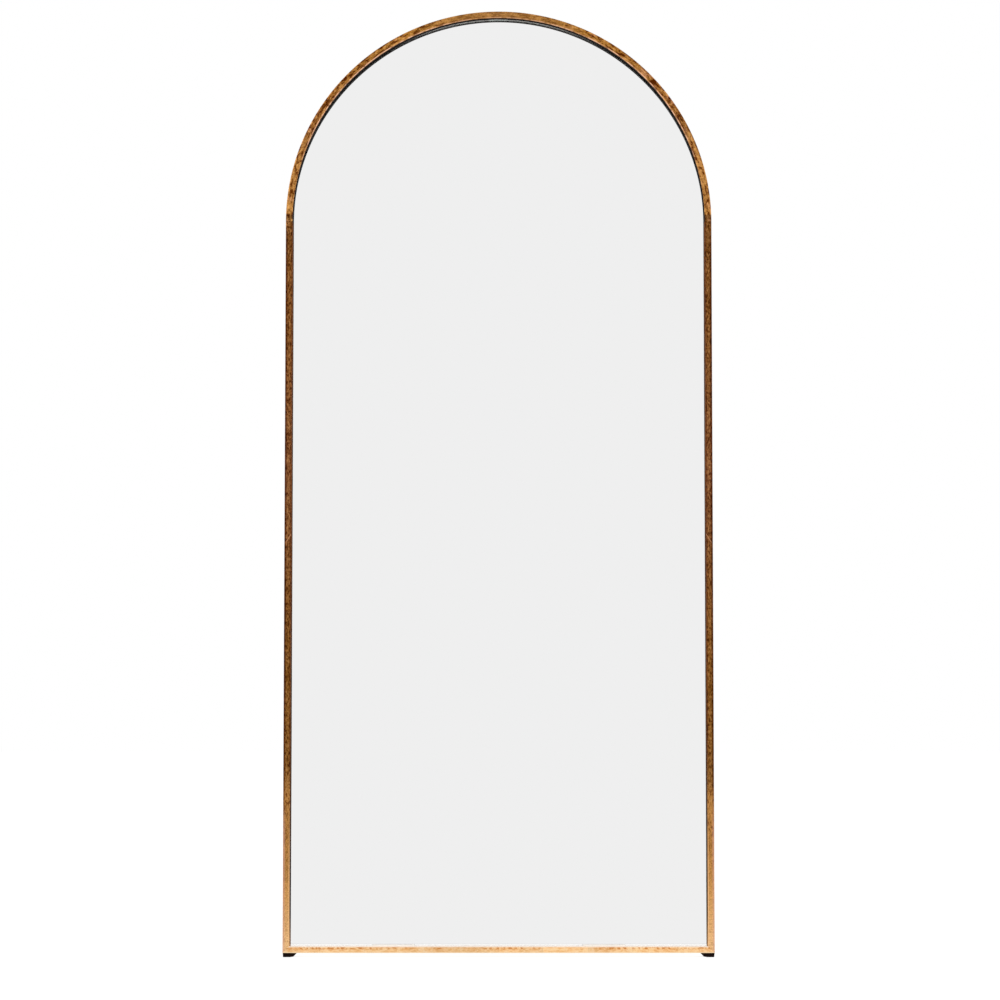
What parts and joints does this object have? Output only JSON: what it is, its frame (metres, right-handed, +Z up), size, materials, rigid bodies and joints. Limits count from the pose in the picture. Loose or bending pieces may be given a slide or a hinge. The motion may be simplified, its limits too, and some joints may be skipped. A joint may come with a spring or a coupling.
{
  "type": "floor mirror",
  "caption": "Tall arched full-length mirror in a thin antique gold tube frame, on two small feet, to lean against a wall.",
  "frame": {"origin": "on the floor, in the middle of the overall width and depth", "axes": "+Z up, the glass faces -Y, +X to the right seen from the front; stored upright, not leaning"},
  "size_m": [0.813, 0.042, 1.8029],
  "materials": {
    "antique_gold": "antiqued gold leaf over dark bronze, darker up the legs, near-black inside the frame",
    "mirror_glass": "silvered clear float glass with a polished edge",
    "film": "translucent film",
    "foam": "closed-cell foam",
    "board": "raw fibreboard",
    "black_steel": "satin black",
    "plated_steel": "zinc plate",
    "zinc_screw": "zinc plate",
    "aluminium": "mill",
    "block_rubber": "matt",
    "bumper_rubber": "satin",
    "foot_rubber": "matt black"
  },
  "bodies": {
    "mirror": {"backing_board": "board", "board_tab_arch_1": "black_steel", "board_tab_arch_2": "black_steel", "board_tab_arch_3": "black_steel", "board_tab_left_1": "black_steel", "board_tab_left_2": "black_steel", "board_tab_left_3": "black_steel", "board_tab_left_4": "black_steel", "board_tab_rail_left": "black_steel", "board_tab_rail_right": "black_steel", "board_tab_right_1": "black_steel", "board_tab_right_2": "black_steel", "board_tab_right_3": "black_steel", "board_tab_right_4": "black_steel", "board_tab_screws": "zinc_screw", "corner_key_left": "aluminium", "corner_key_right": "aluminium", "corner_key_screws_left": "zinc_screw", "corner_key_screws_right": "zinc_screw", "foam_tape_1": "foam", "foam_tape_2": "foam", "foam_tape_3": "foam", "foam_tape_4": "foam", "foot_left": "foot_rubber", "foot_right": "foot_rubber", "foot_screw_left": "zinc_screw", "foot_screw_right": "zinc_screw", "foot_washer_left": "zinc_screw", "foot_washer_right": "zinc_screw", "frame_arch": "antique_gold", "frame_bottom_rail": "antique_gold", "frame_leg_left": "antique_gold", "frame_leg_right": "antique_gold", "hanger_screws_left": "zinc_screw", "hanger_screws_right": "zinc_screw", "hanger_strap_left": "plated_steel", "hanger_strap_right": "plated_steel", "mirror_glass": "mirror_glass", "setting_block_left": "block_rubber", "setting_block_right": "block_rubber", "shatter_film": "film", "splice_bar_left": "aluminium", "splice_bar_right": "aluminium", "splice_screws_left": "zinc_screw", "splice_screws_right": "zinc_screw", "wall_bumper_arch_left": "bumper_rubber", "wall_bumper_arch_right": "bumper_rubber", "wall_bumper_leg_left": "bumper_rubber", "wall_bumper_leg_right": "bumper_rubber"},
    "ring_left": {"hanger_ring_left": "plated_steel"},
    "ring_right": {"hanger_ring_right": "plated_steel"}
  },
  "joints": [
    {"name": "ring_left_swing", "type": "hinge", "parent": "mirror", "child": "ring_left", "pos_m": [-0.3288, 0.01405, 1.3365], "axis": [1, 0, 0], "range_deg": [0, 170]},
    {"name": "ring_right_swing", "type": "hinge", "parent": "mirror", "child": "ring_right", "pos_m": [0.3288, 0.01405, 1.3365], "axis": [1, 0, 0], "range_deg": [0, 170]}
  ]
}
